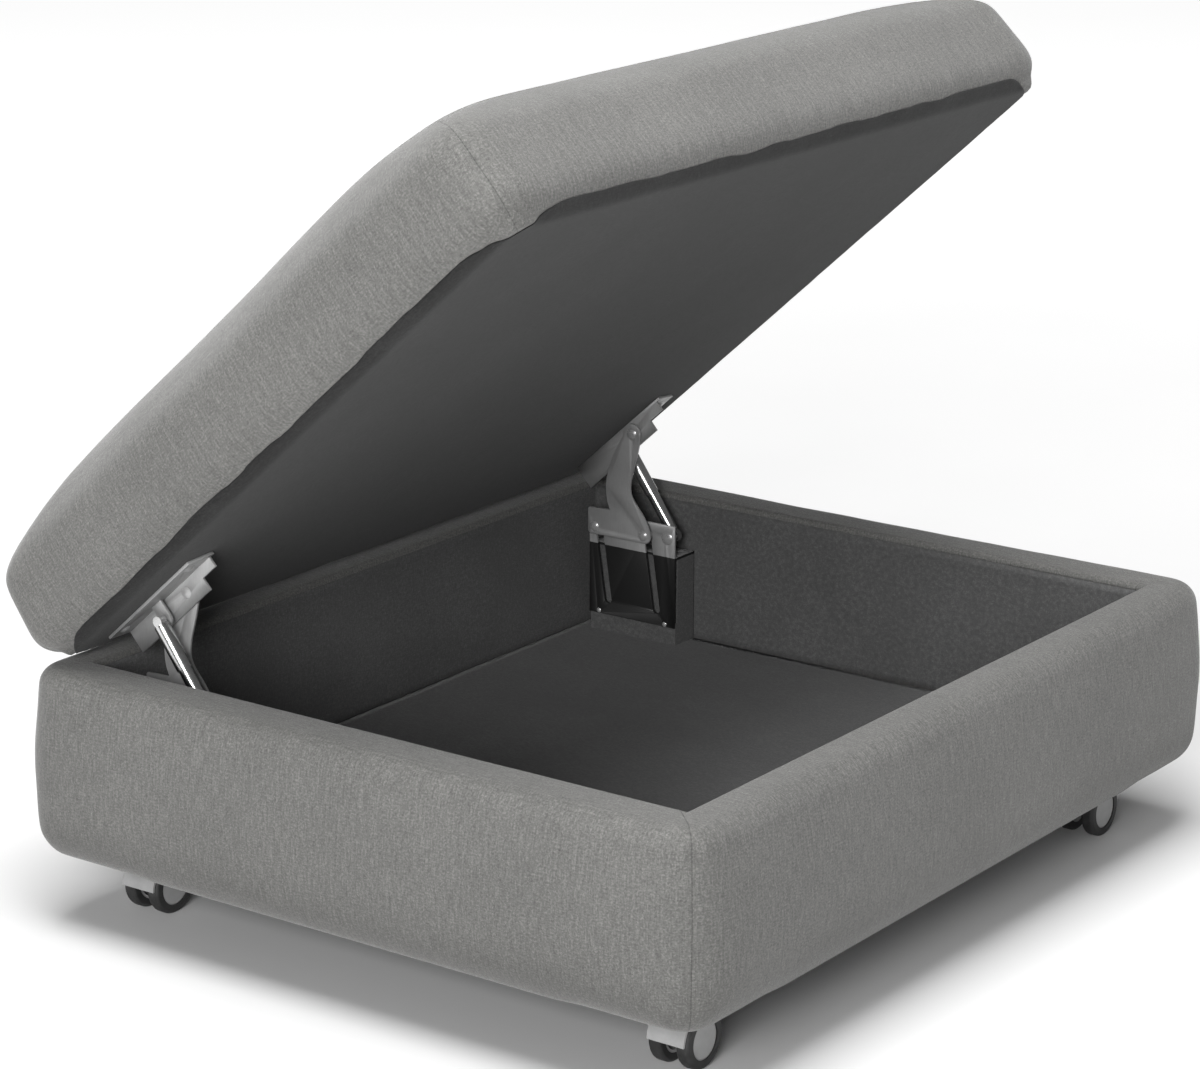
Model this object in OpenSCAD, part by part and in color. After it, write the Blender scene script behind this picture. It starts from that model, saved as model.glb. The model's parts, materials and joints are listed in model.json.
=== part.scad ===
/* [Body] */
// Outer width of the ottoman, left to right
seat_w = 1000; // [900:10:1100]
// Outer depth of the ottoman, front to back
seat_d = 840; // [780:10:900]
// Height of the upholstered rim above the floor
rim_z = 280; // [270:1:300]
// Height of the underside of the base above the floor
base_z = 86; // [84:1:92]
// Thickness of the left and right walls, upholstery included
side_wall = 58.5; // [54:0.5:64]
// Thickness of the front and rear walls, upholstery included
end_wall = 48.5; // [46:0.5:54]
// Corner radius of the base in plan
base_corner_r = 40; // [30:1:60]
// Roll radius of the upholstered edges of the base
base_edge_r = 24; // [15:1:30]

/* [Lid] */
// Height of the lid cushion at its middle
lid_t = 158; // [140:1:175]
// Height at which the crowned top of the cushion begins
lid_side_h = 82; // [70:1:95]
// How far in from the edge the crown keeps rising
lid_crown_in = 160; // [120:5:200]
// Roll radius of the lower edge of the cushion
lid_under_r = 30; // [24:1:45]
// Corner radius of the lid in plan
lid_corner_r = 60; // [45:1:80]
// Angle that the open lid stands at
open_angle = 42; // [30:1:50]
// Gap between the closed lid and the rim
lid_gap = 3.5; // [0.5:0.1:5]

/* [Lift mechanism] */
// Distance of the lid pivot in front of the rear edge of the lid
pivot_in = 150; // [140:1:160]
// Distance of the lid pivot below the underside of the lid
pivot_drop = 13.5; // [13:0.5:16]
// Height that the lift arms raise the pivot by
lift_up = 90.5; // [80:0.1:95]
// Distance that the lift arms carry the pivot backwards
lift_back = 14; // [10:1:18]
// Distance from the middle of the ottoman to each lift arm
arm_x = 390; // [380:1:395]
// Thickness of the steel plates
plate_t = 3; // [2.5:0.5:3.5]
// Diameter of the gas spring cylinder
spring_d = 14; // [12:1:15]

/* [Casters] */
// Wheel diameter
wheel_d = 60; // [56:1:62]
// Width of one wheel
wheel_w = 15; // [12:1:15]
// Distance between the middles of the two wheels of one caster
wheel_gap = 32.4; // [32:0.1:34]
// Distance of the wheels behind the swivel axis
caster_trail = 14; // [10:1:18]
// Distance from the middle of the ottoman to the middle of the wheels, left to right
caster_x = 393; // [370:1:400]
// Distance from the middle of the ottoman to the middle of the wheels, front to back
caster_y = 337.7; // [320:0.1:345]

/* [Hidden] */

// Colours
grey_fabric = [0.50, 0.49, 0.48];
dark_felt = [0.22, 0.22, 0.22];
foam_yellow = [0.86, 0.82, 0.66];
birch = [0.78, 0.64, 0.45];
satin_steel = [0.55, 0.56, 0.57];
bright_steel = [0.78, 0.79, 0.80];
hood_grey = [0.55, 0.56, 0.57];
tyre_black = [0.16, 0.16, 0.17];

// Thin materials and boards
cover_t = 2;
lining_t = 2;
lining_gap = 0.5;
board_t = 20;
floor_t = 16;
cloth_t = 2;
lid_board_t = 18;
rim_pad = 3;
n_roll = 6;
n_crown = 8;
n_corner = 6;

// The storage space inside the linings
in_x = seat_w / 2 - side_wall;
in_y = seat_d / 2 - end_wall;
panel_x = in_x + lining_t;
panel_y = in_y + lining_t;
floor_top = base_z + cover_t + floor_t;
storage_z = floor_top + lining_t;
panel_top = rim_z - cover_t - rim_pad;

// The lid pivot, with the lid closed and open
lid_z = rim_z + lid_gap;
pivot_shut = [seat_d / 2 - pivot_in, lid_z - pivot_drop];
pivot = pivot_shut + [lift_back, lift_up];

// The origin stands under the middle of the whole ottoman as it stands open
rear_corner_y = pivot[0] + pivot_in * cos(open_angle) + pivot_drop * sin(open_angle);
crown_h = lid_t - lid_side_h;
crown_reach = norm([lid_crown_in * cos(open_angle), crown_h * sin(open_angle)])
    - lid_crown_in * cos(open_angle);
lid_back_y = rear_corner_y + lid_side_h * sin(open_angle) + crown_reach;
frame_shift = (seat_d / 2 - lid_back_y) / 2;

// The lift mechanism, measured across the ottoman from its middle
arm_out = arm_x + plate_t;
web_x = arm_out + 1.5;
web_out = web_x + plate_t;
guide_x = web_out + 1.5;
guide_out = guide_x + plate_t;
spring_x = guide_out + 14;
lug_x = guide_out + 2;
lug_out = lug_x + plate_t;
rivet_r = 5;
pivot_r = 4;
pin_r = 3;
run_gap = 0.05;
slot_gap = 0.3;
tail_r = 7.5;
tail_t = 1.8;
head_h = 2.5;

// Places on the lift arm, from the pivot, backwards and up
toe_rivet = [53.7, -122.3];
heel_rivet = [-17, -122.3];
toe_end = 63;
toe_top = -99;
foot_bottom = -131.5;
heel_y = -27.5;
neck_notch = [31, -98];
bend = [1.7, -68];
head_r = 12.5;

// The guide plate on the side wall
guide_front = pivot[0] - 57;
guide_rear = pivot[0] + 67;
guide_top = pivot[1] - 106.5;
guide_bottom = storage_z + 22;
shelf_z = pivot[1] - 148.5;
shelf_out = in_x - 2;
spring_low = pivot + [-46, -122.5];

// The lid bracket, measured from the rear edge of the lid and down from its underside
web_rear = 52;
web_front = 180;
web_tip = 203;
web_deep = 29;
web_shallow = 14.5;
flange_front = 209;
flange_w = 34;
flange_screw_x = web_x + 22;
spring_top_in = 114;
spring_top_drop = 22;
screw_in_rear = 68;
screw_in_front = 189;

// The gas spring
spring_top_shut = [seat_d / 2 - spring_top_in, lid_z - spring_top_drop];
top_arm = spring_top_shut - pivot_shut;
spring_top = pivot + [top_arm[0] * cos(open_angle) + top_arm[1] * sin(open_angle),
                      top_arm[1] * cos(open_angle) - top_arm[0] * sin(open_angle)];
spring_run = spring_top - spring_low;
spring_len = norm(spring_run);
spring_len_shut = norm(spring_top_shut - spring_low);
spring_angle = atan2(spring_run[1], spring_run[0]);
cyl_start = 6;
cyl_end = spring_len_shut - 10;
rod_r = 4;
rod_start = spring_len - spring_len_shut + cyl_start + 8;
guard_start = cyl_end - 4;
guard_end = spring_len - 4.5;
guard_wall = 1;
eye_r = 6;

// Casters
wheel_r = wheel_d / 2;
hub_r = 20.5;
axle_r = 3;
hood_gap = 1.5;
hood_t = 2.5;
hood_w = 43;
caster_top = base_z;
plate_size = 46;
caster_plate_t = 3;
boss_h = 5;
boss_r = 12;
stem_r = 5;
swivel_x = caster_x - caster_trail;
boss_z = caster_top - caster_plate_t - boss_h;
neck_z = wheel_r + 22;

// Shapes that repeat

// Points of a rounded rectangle about the origin
function round_rect(w, d, r) =
    let (h = max(r, 1))
    [for (q = [0:3]) for (k = [0:n_corner])
        let (a = 90 * q + 90 * k / n_corner,
             sx = (q == 0 || q == 3) ? 1 : -1,
             sy = (q < 2) ? 1 : -1)
        [sx * (w / 2 - h) + h * cos(a), sy * (d / 2 - h) + h * sin(a)]];

// Points of a cubic curve from p0 to p3, with p0 itself left out
function curve(p0, p1, p2, p3, n = 10) =
    [for (k = [1:n])
        let (t = k / n, u = 1 - t)
        u * u * u * p0 + 3 * u * u * t * p1 + 3 * u * t * t * p2 + t * t * t * p3];

// The same rounded rectangle at the height z
function ring(w, d, r, z) = [for (p = round_rect(w, d, r)) [p[0], p[1], z]];

// A closed solid through a stack of rings, lowest first
module loft(rings) {
    n = len(rings[0]);
    top = len(rings) - 1;
    sides = [for (k = [0:top - 1]) for (i = [0:n - 1])
        let (low = k * n + i, low_next = k * n + (i + 1) % n)
        each [[low, low + n, low_next + n], [low, low_next + n, low_next]]];
    lid_face = [for (i = [n - 1:-1:0]) top * n + i];
    base_face = [for (i = [0:n - 1]) i];
    polyhedron(points = [for (r = rings) each r], faces = concat([base_face], sides, [lid_face]));
}

// A block with rolled edges above and below, shrunk by inset on every side
module rolled_block(w, d, z0, z1, corner_r, edge_r, inset) {
    r = edge_r - inset;
    function level(a, z) =
        let (back = inset + r * (1 - sin(a)))
        ring(w - 2 * back, d - 2 * back, corner_r - back, z);
    loft(concat([for (k = [0:n_roll])
                     let (a = 90 * k / n_roll) level(a, z0 + inset + r * (1 - cos(a)))],
                [for (k = [n_roll:-1:0])
                     let (a = 90 * k / n_roll) level(a, z1 - inset - r * (1 - cos(a)))]));
}

// The lid cushion, closed, shrunk by inset on every side
module lid_shape(inset) {
    under_r = lid_under_r - inset;
    crown_in = lid_crown_in - inset;
    function level(back, r, z) = ring(seat_w - 2 * back, seat_d - 2 * back, r, z);
    loft(concat([for (k = [0:n_roll])
                     let (a = 90 * k / n_roll, back = inset + under_r * (1 - sin(a)))
                     level(back, lid_corner_r - 0.5 * back, lid_z + inset + under_r * (1 - cos(a)))],
                [for (k = [0:n_crown])
                     let (a = 90 * k / n_crown, back = inset + crown_in * (1 - cos(a)))
                     level(back, lid_corner_r + 0.3 * back,
                           lid_z + lid_side_h + (crown_h - inset) * sin(a))]));
}

// A plate outline drawn with backwards to the right and up to the top, extruded outwards
module side_plate(x, t) {
    translate([x, 0, 0]) rotate([90, 0, 90]) linear_extrude(t) children();
}

module cross_pin(x0, x1, at, r) {
    translate([x0, at[0], at[1]]) rotate([0, 90, 0]) cylinder(h = x1 - x0, r = r, $fn = 40);
}

// A domed head with its flat side at x, facing outwards or inwards
module dome(x, at, r, h, way) {
    ball = (r * r + h * h) / (2 * h);
    translate([x, at[0], at[1]]) rotate([0, 90 * way, 0]) intersection() {
        translate([0, 0, h - ball]) sphere(r = ball, $fn = 48);
        cylinder(h = h, r = r, $fn = 48);
    }
}

module box(x0, x1, y0, y1, z0, z1) {
    translate([x0, y0, z0]) cube([x1 - x0, y1 - y0, z1 - z0]);
}

// Puts a part that is drawn about the middle of the base into the frame of the ottoman
module placed() {
    translate([0, frame_shift, 0]) children();
}

// Turns parts of the closed lid about the lifted pivot into the open lid
module opened() {
    placed() translate([0, pivot[0], pivot[1]]) rotate([-open_angle, 0, 0])
        translate([0, -pivot_shut[0], -pivot_shut[1]]) children();
}

module on_side(side) {
    if (side == "left") mirror([1, 0, 0]) children();
    else children();
}

// Base frame
module end_panel(way) {
    color(birch) placed() translate([0, way * (panel_y + board_t / 2), 0])
        box(-panel_x - board_t, panel_x + board_t, -board_t / 2, board_t / 2, floor_top, panel_top);
}

module side_panel(way) {
    color(birch) placed() translate([way * (panel_x + board_t / 2), 0, 0])
        box(-board_t / 2, board_t / 2, -panel_y, panel_y, floor_top, panel_top);
}

module front_panel() { end_panel(-1); }
module rear_panel() { end_panel(1); }
module left_panel() { side_panel(-1); }
module right_panel() { side_panel(1); }

module floor_panel() {
    color(birch) placed() difference() {
        translate([-panel_x - board_t, -panel_y - board_t, base_z + cover_t])
            cube([2 * (panel_x + board_t), 2 * (panel_y + board_t), floor_t]);
        each_caster() caster_screw_set(2.5);
    }
}

// Foam around the frame, cut where the end pieces meet the side pieces
module foam_ring() {
    difference() {
        rolled_block(seat_w, seat_d, base_z, rim_z, base_corner_r, base_edge_r, cover_t);
        box(-panel_x - board_t, panel_x + board_t, -panel_y - board_t, panel_y + board_t, 0, panel_top);
        box(-panel_x, panel_x, -panel_y, panel_y, 0, rim_z + 1);
    }
}

module end_zone() {
    for (way = [-1, 1])
        translate([-seat_w, way * (seat_d + panel_y) - seat_d, 0]) cube([2 * seat_w, 2 * seat_d, rim_z]);
}

module end_foam() {
    color(foam_yellow) placed() intersection() {
        foam_ring();
        end_zone();
    }
}

module side_foam() {
    color(foam_yellow) placed() difference() {
        foam_ring();
        end_zone();
    }
}

module base_cover() {
    color(grey_fabric) placed() difference() {
        rolled_block(seat_w, seat_d, base_z, rim_z, base_corner_r, base_edge_r, 0);
        rolled_block(seat_w, seat_d, base_z, rim_z, base_corner_r, base_edge_r, cover_t);
        box(-in_x, in_x, -in_y, in_y, 0, rim_z + 1);
        box(-panel_x, panel_x, -panel_y, panel_y, 0, rim_z / 2);
    }
}

module base_dust_cover() {
    color(dark_felt) placed() difference() {
        box(-panel_x, panel_x, -panel_y, panel_y, base_z, base_z + cover_t);
        each_caster() caster_screw_set(2.5);
    }
}

module wall_lining() {
    color(dark_felt) placed() difference() {
        box(-panel_x, panel_x, -panel_y, panel_y, floor_top, rim_z - cover_t);
        box(-in_x, in_x, -in_y, in_y, 0, rim_z);
    }
}

module floor_lining() {
    color(dark_felt) placed() difference() {
        box(-in_x, in_x, -in_y, in_y, floor_top, storage_z);
        for (side = ["left", "right"]) on_side(side)
            box(guide_out - lining_gap, in_x + 1, guide_front - lining_gap, guide_rear + lining_gap,
                floor_top - 1, storage_z + 1);
    }
}

// Wooden blocks that the guide plates are screwed to
block_step = guide_bottom + 6;
module hinge_block() {
    difference() {
        union() {
            box(guide_out, shelf_out, guide_front, guide_rear, floor_top, block_step);
            box(guide_out + 4, shelf_out, guide_front, guide_rear, floor_top, shelf_z);
        }
        guide_screw_set(2);
    }
}

module hinge_blocks() {
    color(birch) placed() for (side = ["left", "right"]) on_side(side) hinge_block();
}

// Outline of the flat underside of the lid, shrunk by inset
module lid_flat(inset) {
    back = lid_under_r + inset;
    polygon(round_rect(seat_w - 2 * back, seat_d - 2 * back, lid_corner_r - 0.5 * back));
}

// Lid cushion, drawn closed
module lid_board() {
    color(birch) opened() difference() {
        translate([0, 0, lid_z + cloth_t]) linear_extrude(lid_board_t) lid_flat(2);
        lid_screw_pins(2);
    }
}

module lid_foam() {
    color(foam_yellow) opened() difference() {
        lid_shape(cover_t);
        translate([0, 0, lid_z]) linear_extrude(cloth_t + lid_board_t) lid_flat(2);
    }
}

module lid_cover() {
    color(grey_fabric) opened() difference() {
        lid_shape(0);
        lid_shape(cover_t);
        translate([0, 0, lid_z - 1]) linear_extrude(cloth_t + 1) lid_flat(0);
    }
}

module lid_dust_cloth() {
    color(dark_felt) opened() difference() {
        translate([0, 0, lid_z]) linear_extrude(cloth_t) lid_flat(0);
        lid_screw_pins(2);
    }
}

// Screws through the flanges of the lid brackets
module lid_screw_spots() {
    for (side = [-1, 1]) for (s = [screw_in_rear, screw_in_front])
        translate([side * flange_screw_x, seat_d / 2 - s, lid_z - plate_t]) children();
}

module lid_screw_pins(r) {
    lid_screw_spots() cylinder(h = plate_t + 16, r = r, $fn = 24);
}

module lid_screws() {
    color(bright_steel) opened() {
        lid_screw_pins(2);
        lid_screw_spots() intersection() {
            translate([0, 0, 7.5]) sphere(r = 10, $fn = 48);
            translate([0, 0, -head_h]) cylinder(h = head_h, r = 6.6, $fn = 48);
        }
    }
}

// Lid bracket: flange, web and the lug that carries the gas spring
module lid_bracket(side) {
    edge = seat_d / 2;
    flange_z = lid_z - plate_t;
    color(satin_steel) opened() on_side(side) difference() {
        union() {
            box(web_x, web_x + flange_w, edge - flange_front + 6, edge - web_rear, flange_z, lid_z);
            translate([0, 0, flange_z]) linear_extrude(plate_t)
                polygon([[web_x, edge - flange_front + 6], [web_x, edge - flange_front],
                         [web_x + 6, edge - flange_front], [web_x + flange_w, edge - flange_front + 6]]);
            side_plate(web_x, plate_t)
                polygon([[edge - web_rear, lid_z], [edge - web_rear, lid_z - web_deep],
                         [edge - web_front, lid_z - web_deep], [edge - web_front, lid_z - web_shallow],
                         [edge - web_tip, lid_z - web_shallow], [edge - web_tip, lid_z]]);
            side_plate(lug_x, plate_t) {
                translate(spring_top_shut) circle(r = 8, $fn = 40);
                translate([spring_top_shut[0] - 8, spring_top_shut[1]]) square([16, spring_top_drop]);
            }
            dome(lug_x, spring_top_shut, 4.5, 1.8, -1);
        }
        cross_pin(web_x - 1, web_out + 1, pivot_shut, pivot_r + run_gap);
        for (s = [screw_in_rear, screw_in_front])
            translate([flange_screw_x, edge - s, flange_z - 1]) cylinder(h = plate_t + 2, r = 2, $fn = 24);
    }
}

module lid_bracket_left() { lid_bracket("left"); }
module lid_bracket_right() { lid_bracket("right"); }

// Guide plate: upright plate with two slots, and a shelf screwed to the wooden block
module slot(from, to, r) {
    hull() for (end = [from, to])
        translate([guide_x - 1, end[0], end[1]]) rotate([0, 90, 0])
            cylinder(h = plate_t + 2, r = r, $fn = 32);
}

module guide_plate(side) {
    travel = [-lift_back, -lift_up];
    color(satin_steel) placed() on_side(side) difference() {
        union() {
            box(guide_x, guide_out, guide_front, guide_rear, guide_bottom, guide_top);
            box(guide_out, shelf_out, guide_front, guide_rear, shelf_z, shelf_z + plate_t);
        }
        for (at = [toe_rivet, heel_rivet]) slot(pivot + at, pivot + at + travel, rivet_r + slot_gap);
        cross_pin(guide_x - 1, guide_out + 1, spring_low, pin_r);
        guide_screw_set(2);
        tail_windows();
    }
}

// Windows in the bend of the shelf, which the tails of the rivets pass through
module tail_windows() {
    for (at = [toe_rivet, heel_rivet]) {
        y = pivot[0] + at[0] - lift_back * (pivot[1] + at[1] - shelf_z) / lift_up;
        box(guide_out, guide_out + tail_t + 1, y - tail_r - 3, y + tail_r + 3,
            shelf_z - 1, shelf_z + plate_t + 1);
    }
}

module guide_plate_left() { guide_plate("left"); }
module guide_plate_right() { guide_plate("right"); }

// Two screws down through the shelf and two through the foot of the upright plate
module guide_screw_set(r) {
    for (y = [guide_front + 14, guide_rear - 14]) {
        translate([shelf_out - 9, y, shelf_z - 24]) cylinder(h = 24 + plate_t, r = r, $fn = 24);
        cross_pin(guide_x, guide_out + 22, [y, guide_bottom + 3], r);
    }
}

module guide_screws() {
    color(bright_steel) placed() for (side = ["left", "right"]) on_side(side) {
        guide_screw_set(2);
        for (y = [guide_front + 14, guide_rear - 14]) {
            translate([shelf_out - 9, y, shelf_z + plate_t]) intersection() {
                translate([0, 0, -6]) sphere(r = 8, $fn = 40);
                cylinder(h = 2, r = 5.2, $fn = 40);
            }
            dome(guide_x, [y, guide_bottom + 3], 3, 1.2, -1);
        }
    }
}

// Lift arm: a swan-necked plate with its pivot at the head and two guide rivets in its foot
module arm_outline() {
    rear = [head_r - 0.5, -3];
    front = [-head_r + 0.5, -3];
    heel_low = [heel_y + 9, foot_bottom];
    heel_high = [heel_y, foot_bottom + 9];
    polygon(concat([[0, 0], rear],
                   curve(rear, [30, -30], [46, -68], neck_notch),
                   [[toe_end - 2, toe_top], [toe_end, toe_top - 2],
                    [toe_end, foot_bottom + 3], [toe_end - 3, foot_bottom], heel_low],
                   curve(heel_low, [heel_y + 3, foot_bottom], [heel_y, foot_bottom + 3], heel_high, 4),
                   curve(heel_high, [-25, -96], [bend[0], -86], bend),
                   curve(bend, [2, -50], [-9, -30], front)));
}

module lift_arm(side) {
    color(satin_steel) placed() on_side(side) difference() {
        union() {
            side_plate(arm_x, plate_t) translate(pivot) arm_outline();
            cross_pin(arm_x, arm_out, pivot, head_r);
        }
        cross_pin(arm_x - 1, arm_out + 1, pivot, pivot_r);
        for (at = [toe_rivet, heel_rivet]) cross_pin(arm_x - 1, arm_out + 1, pivot + at, rivet_r);
    }
}

module lift_arm_left() { lift_arm("left"); }
module lift_arm_right() { lift_arm("right"); }

// The pivot rivet of the lid and the two shouldered rivets that run in the guide plate
module arm_rivets(side) {
    color(bright_steel) placed() on_side(side) {
        cross_pin(arm_x, web_out + 0.3, pivot, pivot_r);
        cross_pin(arm_out, web_x - 0.2, pivot, pivot_r + 4);
        dome(arm_x, pivot, 7, head_h, -1);
        dome(web_out + 0.3, pivot, 6.5, 1, 1);
        for (at = [toe_rivet, heel_rivet]) {
            cross_pin(arm_x, guide_out + 0.3, pivot + at, rivet_r);
            cross_pin(arm_out, guide_x - 0.3, pivot + at, tail_r);
            cross_pin(guide_out + 0.3, guide_out + tail_t, pivot + at, tail_r);
            dome(arm_x, pivot + at, 6.5, head_h, -1);
        }
    }
}

module arm_rivets_left() { arm_rivets("left"); }
module arm_rivets_right() { arm_rivets("right"); }

// Gas spring: cylinder hinged on the guide plate, rod with its dust tube hinged on the lid
module along_spring() {
    translate([spring_x, spring_low[0], spring_low[1]]) rotate([spring_angle - 90, 0, 0]) children();
}

module spring_cylinder(side) {
    body_r = spring_d / 2;
    color(bright_steel) placed() on_side(side) difference() {
        union() {
            along_spring() translate([0, 0, cyl_start])
                cylinder(h = cyl_end - cyl_start, r = body_r, $fn = 60);
            cross_pin(spring_x - 4, spring_x + 4, spring_low, eye_r + 1);
        }
        cross_pin(spring_x - 9, spring_x + 9, spring_low, pin_r + run_gap);
        along_spring() translate([0, 0, cyl_start + 7]) cylinder(h = cyl_end, r = rod_r + 0.15, $fn = 40);
    }
}

module spring_cylinder_left() { spring_cylinder("left"); }
module spring_cylinder_right() { spring_cylinder("right"); }

module spring_rod(side) {
    tube_r = spring_d / 2 + 0.3;
    color(bright_steel) placed() on_side(side) {
        along_spring() {
            translate([0, 0, rod_start]) cylinder(h = spring_len - 3 - rod_start, r = rod_r, $fn = 40);
            translate([0, 0, guard_start]) difference() {
                cylinder(h = guard_end - guard_start, r = tube_r + guard_wall, $fn = 60);
                translate([0, 0, -1]) cylinder(h = guard_end - guard_start - 1.5, r = tube_r, $fn = 60);
            }
        }
        cross_pin(spring_x - 4, spring_x + 4, spring_top, eye_r);
        cross_pin(lug_out + 0.4, spring_x - 4, spring_top, pin_r);
    }
}

module spring_rod_left() { spring_rod("left"); }
module spring_rod_right() { spring_rod("right"); }

module spring_stud(side) {
    color(bright_steel) placed() on_side(side) {
        cross_pin(guide_x, spring_x + 4.3, spring_low, pin_r);
        cross_pin(guide_out, spring_x - 4.3, spring_low, pin_r + 2);
        cross_pin(spring_x + 4.3, spring_x + 6, spring_low, pin_r + 2);
        dome(guide_x, spring_low, 8, head_h, -1);
    }
}

module spring_stud_left() { spring_stud("left"); }
module spring_stud_right() { spring_stud("right"); }

// Casters, drawn with the swivel axis at the origin and the wheels trailing to the left
module at_caster(fore, side) {
    placed() on_side(side) translate([swivel_x, (fore == "front" ? -1 : 1) * caster_y, 0])
        mirror([1, 0, 0]) children();
}

module each_caster() {
    for (fore = [-1, 1]) for (side = [-1, 1])
        translate([side * swivel_x, fore * caster_y, 0]) children();
}

module caster_screw_set(r) {
    spread = plate_size / 2 - 6;
    for (x = [-spread, spread]) for (y = [-spread, spread])
        translate([x, y, caster_top - caster_plate_t]) cylinder(h = caster_plate_t + 14, r = r, $fn = 24);
}

module caster_plates() {
    color(satin_steel) placed() each_caster() difference() {
        union() {
            translate([0, 0, caster_top - caster_plate_t]) linear_extrude(caster_plate_t) plate_outline();
            translate([0, 0, boss_z]) cylinder(h = boss_h, r = boss_r, $fn = 60);
        }
        translate([0, 0, boss_z - 1])
            cylinder(h = boss_h + caster_plate_t + 2, r = stem_r + run_gap, $fn = 60);
        caster_screw_set(2.5);
    }
}

module plate_outline() {
    r = 5;
    square([plate_size - 2 * r, plate_size], center = true);
    square([plate_size, plate_size - 2 * r], center = true);
    for (x = [-1, 1]) for (y = [-1, 1])
        translate([x * (plate_size / 2 - r), y * (plate_size / 2 - r)]) circle(r = r, $fn = 32);
}

module caster_screws() {
    spread = plate_size / 2 - 6;
    color(bright_steel) placed() each_caster() {
        caster_screw_set(2.5);
        for (x = [-spread, spread]) for (y = [-spread, spread])
            translate([x, y, caster_top - caster_plate_t]) intersection() {
                translate([0, 0, 4]) sphere(r = 6, $fn = 36);
                translate([0, 0, -2]) cylinder(h = 2, r = 4.4, $fn = 36);
            }
    }
}

module crosswise(at_x, z, len, r) {
    translate([at_x, len / 2, z]) rotate([90, 0, 0]) cylinder(h = len, r = r, $fn = 72);
}

// Hood: curved guard over the wheels, a rib between them with the axle boss, and the swivel stem
module caster_hood(fore, side) {
    inner_r = wheel_r + hood_gap;
    outer_r = inner_r + hood_t;
    gap_w = wheel_gap - wheel_w;
    rib_w = gap_w - 8;
    color(hood_grey) at_caster(fore, side) difference() {
        union() {
            difference() {
                crosswise(-caster_trail, wheel_r, hood_w, outer_r);
                crosswise(-caster_trail, wheel_r, hood_w + 2, inner_r);
                box(-100, 100, -50, 50, -50, wheel_r + 2);
                box(14, 100, -50, 50, 0, 100);
            }
            intersection() {
                crosswise(-caster_trail, wheel_r, rib_w, outer_r - 1);
                box(-caster_trail - 8, 13, -50, 50, wheel_r, 100);
            }
            translate([0, 0, neck_z]) cylinder(h = boss_z - 0.4 - neck_z, r = rib_w / 2 + 5, $fn = 48);
            translate([0, 0, boss_z - 1]) cylinder(h = boss_h + 2, r = stem_r, $fn = 60);
            crosswise(-caster_trail, wheel_r, gap_w - 1, 7);
        }
        crosswise(-caster_trail, wheel_r, gap_w + 2, axle_r);
        for (way = [-1, 1]) translate([0, way * wheel_gap / 2, 0])
            crosswise(-caster_trail, wheel_r, wheel_w + 1.6, inner_r);
    }
}

module caster_hood_front_left() { caster_hood("front", "left"); }
module caster_hood_front_right() { caster_hood("front", "right"); }
module caster_hood_rear_left() { caster_hood("rear", "left"); }
module caster_hood_rear_right() { caster_hood("rear", "right"); }

module caster_axle(fore, side) {
    color(bright_steel) at_caster(fore, side) crosswise(-caster_trail, wheel_r, wheel_gap + 8, axle_r);
}

module caster_axle_front_left() { caster_axle("front", "left"); }
module caster_axle_front_right() { caster_axle("front", "right"); }
module caster_axle_rear_left() { caster_axle("rear", "left"); }
module caster_axle_rear_right() { caster_axle("rear", "right"); }

// Turns a wheel, drawn about the Z axis with its outer face up, onto its place on the axle
module at_wheel(fore, side, way) {
    y = (way == "outer" ? 1 : -1) * (fore == "front" ? -1 : 1);
    at_caster(fore, side) translate([-caster_trail, y * wheel_gap / 2, wheel_r])
        rotate([-90 * y, 0, 0]) children();
}

module tyre(fore, side, way) {
    h = wheel_w / 2;
    color(tyre_black) at_wheel(fore, side, way) rotate_extrude($fn = 96) difference() {
        union() {
            translate([hub_r, -h]) square([wheel_r - hub_r - 4, wheel_w]);
            translate([hub_r, -h + 4]) square([wheel_r - hub_r, wheel_w - 8]);
            for (z = [-h + 4, h - 4]) translate([wheel_r - 4, z]) circle(r = 4, $fn = 40);
        }
    }
}

module tyre_front_left_outer() { tyre("front", "left", "outer"); }
module tyre_front_left_inner() { tyre("front", "left", "inner"); }
module tyre_front_right_outer() { tyre("front", "right", "outer"); }
module tyre_front_right_inner() { tyre("front", "right", "inner"); }
module tyre_rear_left_outer() { tyre("rear", "left", "outer"); }
module tyre_rear_left_inner() { tyre("rear", "left", "inner"); }
module tyre_rear_right_outer() { tyre("rear", "right", "outer"); }
module tyre_rear_right_inner() { tyre("rear", "right", "inner"); }

// Hub: a disc with a bored boss on the side towards the other wheel
module hub(fore, side, way) {
    h = wheel_w / 2;
    bore_r = axle_r + run_gap;
    color(hood_grey) at_wheel(fore, side, way) rotate_extrude($fn = 96)
        polygon([[0, h - 3], [0, h - 0.8], [hub_r - 2, h - 0.8], [hub_r, h - 1.6], [hub_r, -h + 1],
                 [hub_r - 3, -h + 1], [hub_r - 3, h - 4.5], [8, h - 4.5], [8, -h], [bore_r, -h],
                 [bore_r, h - 3]]);
}

module hub_front_left_outer() { hub("front", "left", "outer"); }
module hub_front_left_inner() { hub("front", "left", "inner"); }
module hub_front_right_outer() { hub("front", "right", "outer"); }
module hub_front_right_inner() { hub("front", "right", "inner"); }
module hub_rear_left_outer() { hub("rear", "left", "outer"); }
module hub_rear_left_inner() { hub("rear", "left", "inner"); }
module hub_rear_right_outer() { hub("rear", "right", "outer"); }
module hub_rear_right_inner() { hub("rear", "right", "inner"); }

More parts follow.
